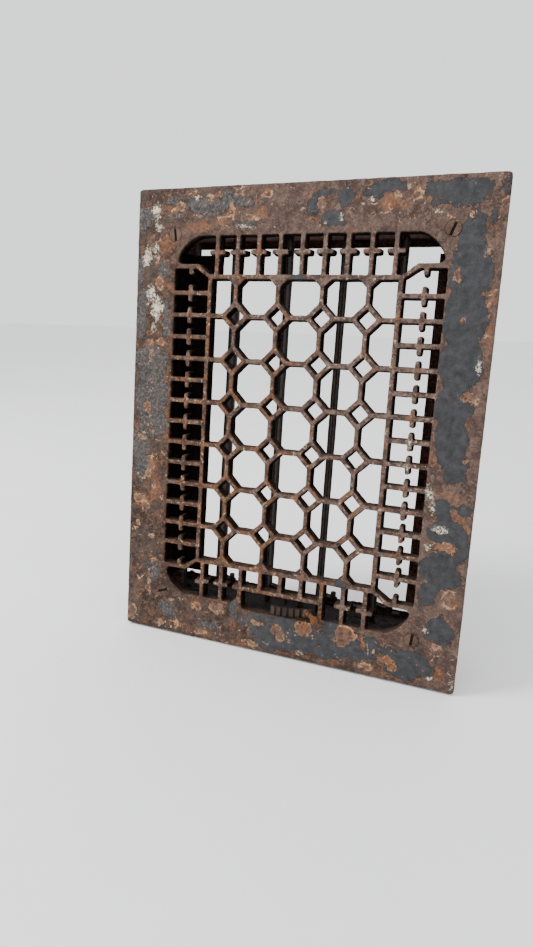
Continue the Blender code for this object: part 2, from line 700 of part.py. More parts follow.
def add_link_bar():
    """The strip that joins the cranks. Its slotted ear takes the drive pin, which works to and fro in it."""
    crank = heading(CRANK_ANGLE, CRANK_RADIUS)
    places = louvre_places()
    length = places[-1] - places[0]
    xs = [x for x, y in drive_offsets()]
    ys = [y for x, y in drive_offsets()]
    reach = DRIVE_PIN_RADIUS + GAP
    slot_low = (min(xs) - reach, min(ys) - reach)
    slot_high = (max(xs) + reach, max(ys) + reach)
    wall = 0.0025
    ear_left, ear_right = slot_low[0] - wall, slot_high[0] + wall
    half = LINK_HALF_WIDTH
    outline = [
        (-LINK_END, half),
        (-LINK_END, -half),
        (ear_left - wall, -half),
        (ear_left, -half - wall),
        (ear_left, slot_low[1] - wall / 2),
        (ear_left + wall, slot_low[1] - wall),
        (ear_right - wall, slot_low[1] - wall),
        (ear_right, slot_low[1] - wall / 2),
        (ear_right, -half - wall),
        (ear_right + wall, -half),
        (length + LINK_END, -half),
        (length + LINK_END, half),
    ]
    slot = cell(slot_low[0], slot_high[0], slot_low[1], slot_high[1])
    bores = [arc(LOUVRE_PITCH * i, 0, LINK_PIN_RADIUS + GAP, 0, 330, 11) for i in range(LOUVRES)]
    mesh = extruded([outline, slot] + bores, LINK_TOP - LINK_BOTTOM)
    shift_up(mesh, (LINK_TOP + LINK_BOTTOM) / 2)
    add_part("link_bar", mesh, IRON_LOUVRE, (places[0] + crank[0], LOUVRE_Y + crank[1], 0))


# Lever


def sector_outline():
    """Plan of the thumb sector: a curved rib with ridges across its outer face."""
    outer, inner = SECTOR_OUTER, SECTOR_INNER
    step = SECTOR_SPAN / RIDGES
    groove = step * GROOVE_SHARE
    points = []
    for k in range(RIDGES):
        start = -SECTOR_SPAN + step * k
        points += [heading(start + groove * 0.3, outer), heading(start + step / 2, outer)]
        points += [heading(start + step - groove, outer)]
        if k < RIDGES - 1:
            points += [heading(start + step - groove * 0.8, outer - RIDGE_HEIGHT)]
            points += [heading(start + step, outer - RIDGE_HEIGHT)]
    points += [heading(0, outer)]
    points += [heading(-SECTOR_SPAN * i / 10, inner) for i in range(11)]
    return points


def arm_outline():
    """Plan of the arm: a fan from the hub, widest round the drive pin."""
    step = (ARM_TO - ARM_FROM) / 6
    fan = [heading(ARM_FROM + step * i, SECTOR_INNER + JOIN_OVERLAP) for i in range(7)]
    shoulder = heading(ARM_SHOULDER_ANGLE, ARM_SHOULDER_RADIUS)
    left, right = (heading(angle, ARM_ROOT_RADIUS) for angle in ARM_ROOT_ANGLES)
    hub = [(ARM_HUB_HALF, ARM_HUB_HALF / 2), (-ARM_HUB_HALF, ARM_HUB_HALF / 2)]
    return fan + [shoulder, right] + hub + [left]


def add_lever():
    """The thumb lever, turned to its rest angle on its own pin in the lower end wall."""
    arm = shift_up(extruded([arm_outline()], ARM_TOP - ARM_BOTTOM), (ARM_TOP + ARM_BOTTOM) / 2)
    lever = add_part("thumb_lever", arm, IRON_BOX, (0, LEVER_Y, 0), turn=LEVER_ANGLE)
    sector = extruded([sector_outline()], SECTOR_TOP - SECTOR_BOTTOM)
    combine(lever, shift_up(sector, (SECTOR_TOP + SECTOR_BOTTOM) / 2), "UNION", parent=lever)
    half = KNOB_SPIGOT_RADIUS + KNOB_BOSS_WALL
    back = JOIN_OVERLAP - SECTOR_INNER
    boss = box((-half, -KNOB_SEAT, SECTOR_BOTTOM + GAP), (half, back, SECTOR_TOP - GAP))
    combine(lever, boss, "UNION", parent=lever)
    wall_face = END_WALL - BOX_HALF_HEIGHT
    hub = rod(LEVER_HUB_RADIUS, wall_face + GAP, ARM_TOP + GAP)
    combine(lever, hub, "UNION", parent=lever)
    bore = rod(LEVER_PIN_RADIUS + GAP, wall_face - END_WALL, ARM_TOP + END_WALL)
    combine(lever, bore, "DIFFERENCE", parent=lever)
    bore = rod(DRIVE_PIN_RADIUS + GAP, ARM_BOTTOM - END_WALL, ARM_TOP + END_WALL)
    combine(lever, bore, "DIFFERENCE", (0, -drive_radius(), 0), parent=lever)
    socket = rod(KNOB_SPIGOT_RADIUS + GAP, -KNOB_SPIGOT_LENGTH - GAP, KNOB_SPIGOT_LENGTH)
    combine(lever, socket, "DIFFERENCE", (0, -KNOB_SEAT, KNOB_Z), tilt=90, parent=lever)


def add_knob():
    """A round-headed finger knob on a short neck, with a spigot in the sector's end."""
    start, centre, radius = KNOB_SEAT + GAP, KNOB_CENTRE, KNOB_RADIUS
    profile = [(0, centre + radius)]
    for angle in range(66, -60, -24):
        turn = math.radians(angle)
        profile.append((radius * math.cos(turn), centre + radius * math.sin(turn)))
    spigot_end = KNOB_SEAT - KNOB_SPIGOT_LENGTH
    profile += [
        (KNOB_WAIST_RADIUS, centre - radius * 1.25),
        (KNOB_WAIST_RADIUS * 1.15, start + KNOB_WAIST_RADIUS),
        (KNOB_FOOT_RADIUS, start),
        (KNOB_SPIGOT_RADIUS, start),
        (KNOB_SPIGOT_RADIUS, spigot_end),
        (0, spigot_end),
    ]
    knob = add_part("lever_knob", turned(profile), IRON_KNOB)
    knob.location = (0, LEVER_Y, KNOB_Z)
    knob.rotation_euler = (math.radians(90), 0, math.radians(LEVER_ANGLE))


def add_lever_pins():
    wall_outside = -BOX_HALF_HEIGHT - GAP
    seat = ARM_TOP + 2 * GAP
    head, rise = PIN_HEAD_RADIUS, PIN_HEAD_HEIGHT
    pivot = [
        (0, seat + rise),
        (head * 0.8, seat + rise),
        (head, seat + rise * 0.4),
        (head, seat),
        (LEVER_PIN_RADIUS, seat),
        (LEVER_PIN_RADIUS, wall_outside),
        (head, wall_outside),
        (head * 0.7, wall_outside - rise),
        (0, wall_outside - rise),
    ]
    add_part("lever_pivot_pin", turned(pivot), STEEL_PIN, (0, LEVER_Y, 0))
    x, y = heading(LEVER_ANGLE, drive_radius())
    seat, rise = ARM_BOTTOM - GAP, DRIVE_PIN_HEAD
    drive = [
        (0, LINK_TOP),
        (DRIVE_PIN_RADIUS, LINK_TOP),
        (DRIVE_PIN_RADIUS, seat),
        (DRIVE_PIN_RADIUS + rise, seat),
        (DRIVE_PIN_RADIUS + rise * 0.6, seat - rise),
        (0, seat - rise),
    ]
    add_part("lever_drive_pin", turned(drive, 12), STEEL_PIN, (x, LEVER_Y + y, 0))


clear_scene()
PARTS = new_collection("louvred_air_grille")
CUTTERS = new_collection("cutters")
add_face_plate()
add_face_screws()
add_side_wall("side_wall_left", -1)
add_side_wall("side_wall_right", 1)
add_end_wall("end_wall_top", 1)
bottom_wall = add_end_wall("end_wall_bottom", -1)
pivot_bore = rod(LEVER_PIN_RADIUS + GAP, -END_WALL, END_WALL)
combine(bottom_wall, pivot_bore, "DIFFERENCE", (0, LEVER_Y, END_WALL / 2 - BOX_HALF_HEIGHT))
for corner_name in CORNERS:
    add_corner_lug(corner_name)
add_corner_rivets()
add_louvres()
add_link_bar()
add_lever()
add_knob()
add_lever_pins()
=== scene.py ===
"""Looks of the louvred air grille: rough iron castings under rust and the last of their paint.

Every piece is made from its CAD node's own mesh, so it stays where the frame puts it. Lengths are metres,
apart from the lists of patches, which are in mm.
"""

import json
import math

import bmesh
import bpy
import numpy as np
from mathutils import Matrix, Vector, noise


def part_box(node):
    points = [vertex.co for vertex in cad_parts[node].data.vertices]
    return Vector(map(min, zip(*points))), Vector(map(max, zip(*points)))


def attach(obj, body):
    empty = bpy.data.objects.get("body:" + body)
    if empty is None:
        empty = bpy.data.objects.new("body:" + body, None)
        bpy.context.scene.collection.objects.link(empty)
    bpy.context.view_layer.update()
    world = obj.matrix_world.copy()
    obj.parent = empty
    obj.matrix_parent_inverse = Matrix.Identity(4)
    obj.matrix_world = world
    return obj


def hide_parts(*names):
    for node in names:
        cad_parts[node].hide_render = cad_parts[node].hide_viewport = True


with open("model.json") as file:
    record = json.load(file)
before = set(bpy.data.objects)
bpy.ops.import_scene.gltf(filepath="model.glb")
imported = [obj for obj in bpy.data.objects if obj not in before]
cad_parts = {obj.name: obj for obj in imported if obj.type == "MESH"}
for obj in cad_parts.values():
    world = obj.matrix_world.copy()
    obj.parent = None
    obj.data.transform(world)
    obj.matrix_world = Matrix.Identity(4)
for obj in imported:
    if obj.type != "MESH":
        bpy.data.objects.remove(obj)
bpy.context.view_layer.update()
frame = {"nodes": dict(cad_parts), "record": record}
MM = 0.001

# The face casting: how far a bar's sides stand out at its face, and how much further at its back
FACE_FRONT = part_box("face_plate")[0].y
LATTICE_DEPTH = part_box("face_plate")[1].y - FACE_FRONT
FACE_SWELL = 0.12 * MM
DRAFT = 0.75 * MM
PAINT_THICKNESS = 0.15 * MM
FACE_TRIANGLES = 190000
# Half the width and height of the opening in the rim, and of the outline in which the bars are worn
OPENING_HALF = (0.1045, 0.148)
BARS_HALF = (0.104, 0.1435)

# Skins: the cubes or squares that they are made of, and how far their corners are rounded
FACE_CUBE = 0.6 * MM
PIECE_CUBE = 0.45 * MM
FINE_CUBE = 0.25 * MM
WALL_SQUARE = 5 * MM
BOTTOM_SQUARE = 2 * MM
CORNER_ROUND = 0.4 * MM
# A piece longer than this is a plate, which is cut into squares
PLATE_LENGTH = 0.2

# The height of the cast lumps on each kind of piece
FACE_LUMP = 0.3 * MM
WALL_LUMP = 0.3 * MM
BOTTOM_LUMP = 0.2 * MM
PIECE_LUMP = 0.12 * MM
FINE_LUMP = 0.08 * MM
# The seeds of the lumps: the face's own, and the first of the other pieces'
FACE_SEED = 5
FIRST_SEED = 21

# Darkening in a slot or a groove starts this deep and is full this much deeper
DARKENING_START = 0.3 * MM
DARKENING_SPAN = 0.5 * MM
# The lever turns about the upright line at this y
PIVOT_Y = (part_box("lever_pivot_pin")[0].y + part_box("lever_pivot_pin")[1].y) / 2
# Inner sides given near-black painted shade, and the way that each faces
PAINTED_SHADE_SIDES = {"end_wall_bottom": (0, 0, 1), "side_wall_left": (0.8, -0.8, 0)}


# Meshes


def node_body(node):
    bodies = frame["record"]["behaviour"]["bodies"]
    return next(body for body, members in bodies.items() if node in members)


def node_slot(node):
    return next(row["material_slot"] for row in frame["record"]["subparts"] if row["node"] == node)


def applied(piece):
    """Applies the piece's modifiers to its mesh."""
    graph = bpy.context.evaluated_depsgraph_get()
    mesh = bpy.data.meshes.new_from_object(piece.evaluated_get(graph))
    piece.modifiers.clear()
    piece.data = mesh


def copy_of(node, name):
    piece = bpy.data.objects.new(name, frame["nodes"][node].data.copy())
    piece.data.materials.clear()
    bpy.context.scene.collection.objects.link(piece)
    return piece


def voxel_skin(piece, cube, smooth_steps):
    """Rebuilds the piece as an even skin with softened edges, as sand casting leaves them."""
    remesh = piece.modifiers.new("skin", "REMESH")
    remesh.mode = "VOXEL"
    remesh.voxel_size = cube
    smooth = piece.modifiers.new("soften", "SMOOTH")
    smooth.factor = 0.5
    smooth.iterations = smooth_steps
    applied(piece)


def thin_out(piece, triangles):
    """Merges the triangles that matter least until about this many are left."""
    count = sum(len(polygon.vertices) - 2 for polygon in piece.data.polygons)
    if count > triangles:
        decimate = piece.modifiers.new("thin", "DECIMATE")
        decimate.ratio = triangles / count
        applied(piece)


def round_corners(work, radius):
    """Joins the facets of each flat side and rounds the corners between the sides."""
    bmesh.ops.remove_doubles(work, verts=work.verts, dist=0.01 * MM)
    bmesh.ops.dissolve_limit(work, angle_limit=math.radians(2), verts=work.verts, edges=work.edges)
    sharp = [e for e in work.edges if e.is_manifold and e.calc_face_angle(0) > math.radians(50)]
    bmesh.ops.bevel(
        work, geom=sharp, offset=radius, segments=2, profile=0.6, affect="EDGES", clamp_overlap=True
    )


def sliced_skin(piece, square, radius):
    """Rounds the corners of a plain plate and cuts its faces into squares, for a thin piece."""
    work = bmesh.new()
    work.from_mesh(piece.data)
    round_corners(work, radius)
    low = [min(v.co[axis] for v in work.verts) for axis in range(3)]
    high = [max(v.co[axis] for v in work.verts) for axis in range(3)]
    for axis in range(3):
        normal = [float(axis == i) for i in range(3)]
        cuts = int((high[axis] - low[axis]) / square)
        for i in range(1, cuts):
            place = [0, 0, 0]
            place[axis] = low[axis] + (high[axis] - low[axis]) * i / cuts
            everything = work.verts[:] + work.edges[:] + work.faces[:]
            bmesh.ops.bisect_plane(work, geom=everything, plane_co=place, plane_no=normal)
    work.to_mesh(piece.data)
    work.free()


def vectors_of(mesh, name):
    """A vector for each vertex: co is its place and normal is the way that it faces."""
    values = np.empty(len(mesh.vertices) * 3, np.float32)
    mesh.vertices.foreach_get(name, values)
    return values.reshape(-1, 3)


def points_of(mesh):
    return vectors_of(mesh, "co")


def normals_of(mesh):
    return vectors_of(mesh, "normal")


def facing_front(mesh):
    """1 where the mesh faces the room, 0 on its sides and its back."""
    return np.clip(-normals_of(mesh)[:, 1], 0, 1)


def facing_back(mesh):
    """0 where the mesh faces the room and on its sides, 1 on its back."""
    return np.clip(normals_of(mesh)[:, 1] * 4, 0, 1)


def slope(values, start, width):
    """0 at start, rising to 1 over the width, which is negative for a slope the other way."""
    return np.clip((values - start) / width, 0, 1)


def fractal(points, size, octaves, offset):
    """Fractal noise about 0 at each point, its largest lumps about size across."""
    shift = Vector((offset, offset * 0.7, -offset))
    return np.array([noise.fractal(Vector(p) / size + shift, 0.9, 2.1, octaves) for p in points.tolist()])


def push_out(mesh, distances):
    points = points_of(mesh) + normals_of(mesh) * distances[:, None]
    mesh.vertices.foreach_set("co", points.astype(np.float32).ravel())
    mesh.update()


def roughen(mesh, lump, seed):
    """Cast-iron lumps under rust scale, within the lump's height and sunk a little to keep the size."""
    points = points_of(mesh)
    broad = fractal(points, 14 * MM, 3, seed)
    scale = fractal(points, 3.5 * MM, 2, seed + 11)
    push_out(mesh, lump * (0.55 * broad + 0.45 * scale) - lump * 0.25)


def pile_dirt(mesh):
    """Crumbs of rust and dirt on the upper side of the bottom wall, most of them beside the lever."""
    height = 2.2 * MM
    under_lever = 0.15
    points = points_of(mesh)
    up = np.clip(normals_of(mesh)[:, 2], 0, 1)
    clear = np.maximum(slope(np.abs(points[:, 0]), 30 * MM, 20 * MM), under_lever)
    crumbs = np.clip(fractal(points, 4 * MM, 3, 31) + 0.1, 0, 1)
    push_out(mesh, up * clear * crumbs * height)


def store(mesh, name, values):
    attribute = mesh.attributes.new(name, "FLOAT", "POINT")
    attribute.data.foreach_set("value", values.astype(np.float32))


def finish_piece(piece, node, material):
    for polygon in piece.data.polygons:
        polygon.use_smooth = True
    piece.data.materials.append(material)
    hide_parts(node)
    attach(piece, node_body(node))


# What is left on the face: centre x and z, half width and half height, in mm

SLATE_PATCHES = [
    (-78, 163, 21, 6), (-100, 157, 9, 3), (-50, 165, 12, 4), (-30, 166, 5, 3), (-42, 150, 9, 3),
    (-62, 171, 9, 3), (-131, 156, 6, 12), (6, 160, 5, 9), (14, 168, 8, 3), (22, 151, 9, 4), (29, 163, 5, 8),
    (48, 168, 7, 3), (60, 171, 11, 4), (98, 169, 23, 6), (108, 163, 17, 8), (120, 167, 9, 7),
    (134, 166, 3, 7), (117, 142, 8, 14), (129, 148, 3, 11), (117, 115, 14, 22), (117, 85, 14, 24),
    (117, 55, 14, 24), (116, 28, 12, 22), (116, 5, 12, 18), (120, -9, 8, 20), (114, -42, 6, 5),
    (130, -43, 4, 4), (118, -49, 5, 6), (119, -60, 13, 9), (130, -70, 5, 14), (118, -88, 15, 14),
    (113, -104, 8, 12), (126, -92, 8, 10), (122, -124, 3, 5), (122, -132, 11, 9), (125, -138, 6, 6),
    (106, -129, 4, 3), (105, -160, 18, 9), (99, -168, 13, 7), (88, -155, 6, 5), (42, -148, 8, 10),
    (40, -160, 20, 10), (65, -159, 15, 8), (75, -154, 8, 7), (15, -161, 22, 11), (-6, -162, 17, 11),
    (-15, -153, 19, 7), (12, -151, 14, 6), (-38, -149, 4, 9), (48, -112, 5, 5), (0, 112, 10, 2),
    (-120, 45, 15, 17), (-119, 18, 15, 20), (-118, -2, 13, 13), (-127, -30, 8, 22), (-131, 82, 5, 26),
    (-109, 84, 4, 20), (-112, 114, 5, 7), (-133, 116, 3, 18), (-112, -126, 8, 11), (-97, -158, 9, 7),
    (-58, -165, 8, 4), (-108, 168, 8, 3),
]
CREAM_PATCHES = [
    (-120, 160, 5, 8), (-118, 148, 5, 6), (-127, 125, 5, 11), (-120, 131, 3, 9), (-123, 99, 5, 9),
    (-118, 87, 6, 12), (-120, 74, 4, 5), (-82, 156, 5, 2), (-86, 169, 5, 2), (-66, 150, 5, 2),
    (-24, 147, 5, 2), (-43, 147, 5, 1), (-51, 173, 3, 2), (28, 152, 2, 3), (14, 149, 4, 2), (47, 163, 3, 2),
    (91, 154, 4, 2), (105, -33, 2, 6), (108, -44, 3, 9), (114, -58, 6, 4), (107, -72, 6, 3),
    (129, 55, 2, 4), (128, 74, 2, 1), (-84, -148, 3, 2), (-45, -153, 2, 2), (119, -169, 3, 3),
    (134, -170, 2, 7), (20, -171, 3, 2), (112, -133, 2, 2), (88, 0, 3, 5), (88, -18, 3, 3),
]
ORANGE_PATCHES = [
    (-108, 161, 9, 6), (-58, 157, 5, 6), (-34, 156, 7, 4), (-30, 170, 5, 4), (8, 152, 6, 3),
    (-72, 62, 3, 8), (-66, -172, 22, 4), (-38, -160, 5, 7), (47, -171, 9, 5), (-10, -174, 24, 3),
    (75, -172, 12, 3), (-85, 149, 16, 4), (62, 160, 15, 6), (-110, 136, 8, 8), (-108, 104, 8, 4),
    (-106, 20, 3, 44), (-128, 70, 6, 4), (-100, -84, 4, 12), (-128, -8, 6, 14), (133, 80, 3, 26),
    (106, -10, 4, 8), (118, -34, 10, 4), (-120, -40, 10, 10), (-112, -58, 6, 10), (-124, -70, 10, 7),
    (127, -60, 9, 30), (124, -164, 8, 6),
]
PEELED_PATCHES = [
    (22, -151, 7, 6), (-14, -154, 6, 2), (-1, -156, 5, 5), (3, -161, 4, 4), (8, -163, 4, 2),
    (55, -149, 8, 7), (51, -156, 4, 3), (69, -153, 2, 3), (43, -155, 2, 2), (87, -162, 6, 4),
    (91, -166, 4, 4), (-54, -148, 9, 5), (-70, -150, 5, 4), (-132, -166, 4, 6), (-118, -143, 3, 2),
    (-50, -171, 2, 3), (-89, -170, 2, 4), (-123, 61, 4, 3), (-112, 62, 3, 3), (-121, 49, 1, 3),
    (-121, 32, 3, 2), (-123, 9, 3, 4), (-119, -9, 2, 2), (-128, -16, 3, 3), (-119, -32, 5, 4),
    (-118, -38, 3, 5), (-121, -45, 3, 3), (-125, -49, 3, 2), (-129, -67, 5, 3), (-122, -73, 4, 5),
    (-107, -62, 2, 6), (-114, -55, 2, 3), (-129, -88, 2, 2), (-114, -97, 2, 2), (-110, -118, 5, 1),
    (-116, -135, 1, 9), (109, 112, 2, 4), (115, 84, 1, 1), (132, 90, 2, 11), (127, 128, 2, 4),
    (124, 34, 5, 4), (129, 31, 3, 3), (127, -9, 2, 2), (108, -14, 4, 1), (121, -71, 7, 4),
    (127, -108, 5, 6), (121, -144, 3, 2), (-62, 152, 6, 4), (-51, 173, 4, 3), (78, 165, 4, 3),
    (73, 171, 3, 3), (65, 166, 3, 2), (-118, 122, 2, 3), (-116, 107, 3, 5), (12, 161, 3, 4),
    (-96, -149, 3, 2), (-100, 163, 5, 3), (-107, 158, 4, 3), (-37, 154, 5, 2), (-30, 170, 4, 3),
    (-57, 157, 2, 5), (-88, 174, 5, 2), (-74, 170, 6, 2), (-104, -172, 3, 2), (-20, -172, 6, 2),
    (72, -170, 5, 3), (-66, -171, 4, 2),
]


def patch_field(points, patches, ragged, seed):
    """How far inside the nearest patch each point is, in mm, with ragged mm of play in its outline."""
    far_outside = -20.0
    x, z = points[:, 0] / MM, points[:, 2] / MM
    field = np.full(len(points), far_outside)
    for centre_x, centre_z, half_x, half_z in patches:
        reach = np.hypot((x - centre_x) / half_x, (z - centre_z) / half_z)
        field = np.maximum(field, (1 - reach) * min(half_x, half_z))
    return field + ragged * fractal(points, 12 * MM, 4, seed)


def in_opening(points):
    return (np.abs(points[:, 0]) < OPENING_HALF[0]) & (np.abs(points[:, 2]) < OPENING_HALF[1])


def on_bars(points):
    """1 on the lattice's bars and 0 on the rim, over an outline with round corners."""
    inside = 1.05 - (points[:, 0] / BARS_HALF[0]) ** 4 - (points[:, 2] / BARS_HALF[1]) ** 4
    return np.clip(inside * 8, 0, 1)


def patch_masks(mesh):
    """How deep each point of the face's front is in a patch of each kind. The back has none.

    Cream falls off four times as fast outside its patches, which keeps its speckles near them.
    """
    points = points_of(mesh)
    at_back = 20 * facing_back(mesh)
    cream = patch_field(points, CREAM_PATCHES, 2, 7) - at_back
    return {
        "slate": patch_field(points, SLATE_PATCHES, 3, 3) - at_back,
        "peeled": patch_field(points, PEELED_PATCHES, 1.6, 17) - at_back,
        "cream": np.where(cream < 0, 4 * cream, cream),
        "orange": patch_field(points, ORANGE_PATCHES, 3, 13) - at_back,
    }


def weather_masks(mesh):
    """Where the face is dull, warm, stained or flaky, where its bars are, and the painted shade on their
    sides and backs, darkest on sides that face right or down.

    Dullness and warmth grow to the left, warmth also downwards. Flakes lie on the top, left and bottom rims.
    """
    points = points_of(mesh)
    normals = normals_of(mesh)
    x, z = points[:, 0] / MM, points[:, 2] / MM
    opening = in_opening(points)
    warmth = np.clip(0.5 - x / 160 - z / 300, 0, 1)
    stain = np.clip(0.1 + warmth * 0.75, 0, 0.7)
    flaky_rim = slope(z, 140, 10) + slope(x, -95, -10) + slope(z, -142, -8)
    flaky = np.clip(flaky_rim, 0.06, 0.9) * (1 - facing_back(mesh))
    # Painted shade on the bars' sides: darker where they face right or down, lighter where they face up
    shade = np.clip(0.9 + 0.2 * normals[:, 0] - 0.3 * normals[:, 2], 0.55, 0.97)
    return {
        "dull": np.clip(-x / 50, 0, 1),
        "warmth": warmth,
        "lattice": on_bars(points),
        "stain": stain * np.where(opening, 0.25, 1),
        "flaky": np.where(opening, 0.3, flaky),
        "painted_shade": np.where(opening, shade * np.clip(1.15 - 2 * facing_front(mesh), 0, 1), 0),
    }


# Colours, as hex codes

# Near black painted shade on the bars' sides and backs
PAINTED_SHADE_BLACK = "060404"
POCK_BLACK = "0d0807"
# Near black, mottled painted shade on the inner pieces
PAINTED_SHADE_MOTTLE = ("080605", "1f1712")
LATTICE_SHADE = "332724"
LATTICE_WEAR = ("7d675d", "845639")
# Pale specks on the bars, partly pale flecks and partly painted highlight
PALE_FLECK_AND_HIGHLIGHT = "c4ad8c"
STAIN = ("2d2826", "544a43")
FRESH_RUST = ("6f442e", "9a6646")
EDGE_RUST = "93633f"
SLATE = ("29292b", "424245")
OLIVE = ("262526", "4a4440")
DUST = "6e625a"
SCUFF = "5b4638"
FLAKE = ("a8683f", "b59a80")
BARE_IRON = ("4a372f", "765b4d")
BARE_RUST = "87522f"
# Tan rim round the peeled patches, partly rust and partly painted highlight
RIM_TAN_AND_HIGHLIGHT = "bf946f"
CREAM = ("8d7e69", "ddd2be")
PALE_FLOOR = ("ececec", "f3f3f2")
# Rusts: the dark scale, the middle brown, the dusty light brown and the orange spots
COOL_RUST = ("43342e", "5e4b43", "836c60", "7f5640")
WARM_RUST = ("30241f", "503c32", "7a5d4b", "8f5833")
# Each bare iron's rust, how much of it is orange, how rough it is and how strong its grain is; the louvres'
# rust is darkened as painted shade
IRONS = {
    "box_iron": (("2c1a16", "52342c", "6d463a", "7d4a2c"), 0.0, 0.85, 1.0),
    # The louvres' rust is darkened as painted shade, standing in for the shade inside the box
    "louvre_iron": (("150e0c", "30201a", "4c3428", "603a26"), -0.02, 0.85, 1.0),
    "lever_iron": (("4f4136", "7a6857", "a5917a", "86593c"), -0.03, 0.85, 0.35),
    "knob_iron": (("452b1d", "784b2d", "a06f4a", "925a33"), 0.03, 0.85, 0.7),
    "pin_steel": (("241813", "402b20", "5c3e2e", "7a4526"), 0.0, 0.75, 1.0),
    "screw_iron": (("43332b", "634c40", "7f6556", "80502f"), -0.05, 0.85, 0.3),
}
# How deep the bump of the iron's relief is, and how much higher the paint stands in it
RELIEF = 0.8 * MM
PAINT_RELIEF = 1.6


# Materials


def linear(code):
    """A hex colour as linear RGBA."""
    parts = [int(code[i : i + 2], 16) / 255 for i in (0, 2, 4)]
    return [p / 12.92 if p <= 0.04045 else ((p + 0.055) / 1.055) ** 2.4 for p in parts] + [1]


class Shading:
    """A material's node tree, with one short call for each kind of node.

    A noise's scale is its number of lumps to the metre, and its detail is the number of finer layers on them.
    """

    def __init__(self, name):
        self.material = bpy.data.materials.new(name)
        self.material.use_nodes = True
        self.tree = self.material.node_tree
        self.shader = self.tree.nodes["Principled BSDF"]
        self.place = self.add("ShaderNodeTexCoord").outputs["Object"]

    def add(self, kind, values=(), **settings):
        node = self.tree.nodes.new(kind)
        for key, value in settings.items():
            setattr(node, key, value)
        for socket, value in dict(values).items():
            if isinstance(value, bpy.types.NodeSocket):
                self.tree.links.new(value, node.inputs[socket])
            else:
                node.inputs[socket].default_value = value
        return node

    def attribute(self, name):
        return self.add("ShaderNodeAttribute", attribute_name=name).outputs["Fac"]

    def math(self, operation, first, second):
        return self.add("ShaderNodeMath", {0: first, 1: second}, operation=operation).outputs[0]

    def plus(self, first, second):
        return self.math("ADD", first, second)

    def minus(self, first, second):
        return self.math("SUBTRACT", first, second)

    def times(self, first, second):
        return self.math("MULTIPLY", first, second)

    def noise(self, scale, detail=6, roughness=0.7, distortion=0.0):
        """Noise from 0 to 1."""
        values = {"Vector": self.place, "Scale": scale, "Detail": detail}
        values.update({"Roughness": roughness, "Distortion": distortion})
        return self.add("ShaderNodeTexNoise", values).outputs["Fac"]

    def swing(self, reach, scale, detail=6, roughness=0.7, distortion=0.0):
        """Noise about 0, with this reach from its lowest to its highest."""
        return self.times(self.minus(self.noise(scale, detail, roughness, distortion), 0.5), reach)

    def spots(self, scale, low, high, detail=6, roughness=0.7, distortion=0.0):
        """Spots: 0 where the noise is below low, 1 where it is above high."""
        return self.step(self.noise(scale, detail, roughness, distortion), low, high)

    def pits(self, scale):
        values = {"Vector": self.place, "Scale": scale}
        return self.add("ShaderNodeTexVoronoi", values).outputs["Distance"]

    def step(self, value, low, high):
        """0 below low, 1 above high, or the other way round if low is the higher."""
        values = {"Value": value, "From Min": low, "From Max": high}
        return self.add("ShaderNodeMapRange", values).outputs["Result"]

    def between(self, value, low, high):
        """low where the value is 0, high where it is 1."""
        values = {"Value": value, "To Min": low, "To Max": high}
        return self.add("ShaderNodeMapRange", values).outputs["Result"]

    def blend(self, factor, first, second):
        """first where the factor is 0, second where it is 1. Each is a colour socket or a hex code."""
        values = {0: factor}
        for socket, colour in ((6, first), (7, second)):
            values[socket] = linear(colour) if isinstance(colour, str) else colour
        return self.add("ShaderNodeMix", values, data_type="RGBA").outputs[2]

    def cover(self, under, over, mask, strength):
        """Lays a colour over another where the mask is 1, as strongly as strength says."""
        return self.blend(self.times(mask, strength), under, over)

    def mottle(self, colours, scale, low, high, detail=6, roughness=0.7):
        """The first colour with spots of the second."""
        return self.blend(self.spots(scale, low, high, detail, roughness), *colours)

    def finish(self, colour, roughness, height, depth):
        self.tree.links.new(colour, self.shader.inputs["Base Color"])
        self.tree.links.new(roughness, self.shader.inputs["Roughness"])
        bump = self.add("ShaderNodeBump", {"Height": height, "Distance": depth, "Strength": 1.0})
        self.tree.links.new(bump.outputs["Normal"], self.shader.inputs["Normal"])
        return self.material


def rust_colour(s, rust, orange_share, grain):
    """Mottled rust: a dark scale, a mid brown, a dusty light brown, black pocks and orange spots."""
    dark, middle, light, orange = rust
    fine = s.noise(520, 5, 0.72)
    scabs = s.noise(210, roughness=0.74, distortion=0.5)
    colour = s.blend(s.spots(70, 0.42, 0.58, roughness=0.68, distortion=0.4), dark, middle)
    colour = s.cover(colour, light, s.step(scabs, 0.52, 0.6), 0.7 * grain)
    colour = s.cover(colour, dark, s.step(scabs, 0.46, 0.38), 0.6 * grain)
    colour = s.cover(colour, light, s.step(fine, 0.5, 0.74), grain)
    colour = s.cover(colour, POCK_BLACK, s.spots(900, 0.5, 0.3, detail=3), grain)
    fresh = s.plus(s.times(s.noise(150, distortion=0.8), 0.6), s.times(fine, 0.4))
    return s.blend(s.step(fresh, 0.6 - orange_share, 0.68 - orange_share), colour, orange)


def iron_height(s):
    """Fine relief: grainy rust and scale over small pits."""
    grain = s.times(s.noise(1100), 0.6)
    scale = s.times(s.noise(260, roughness=0.68), 1.6)
    pits = s.times(s.step(s.pits(650), 0.0, 0.3), 0.3)
    return s.plus(s.plus(grain, scale), pits)


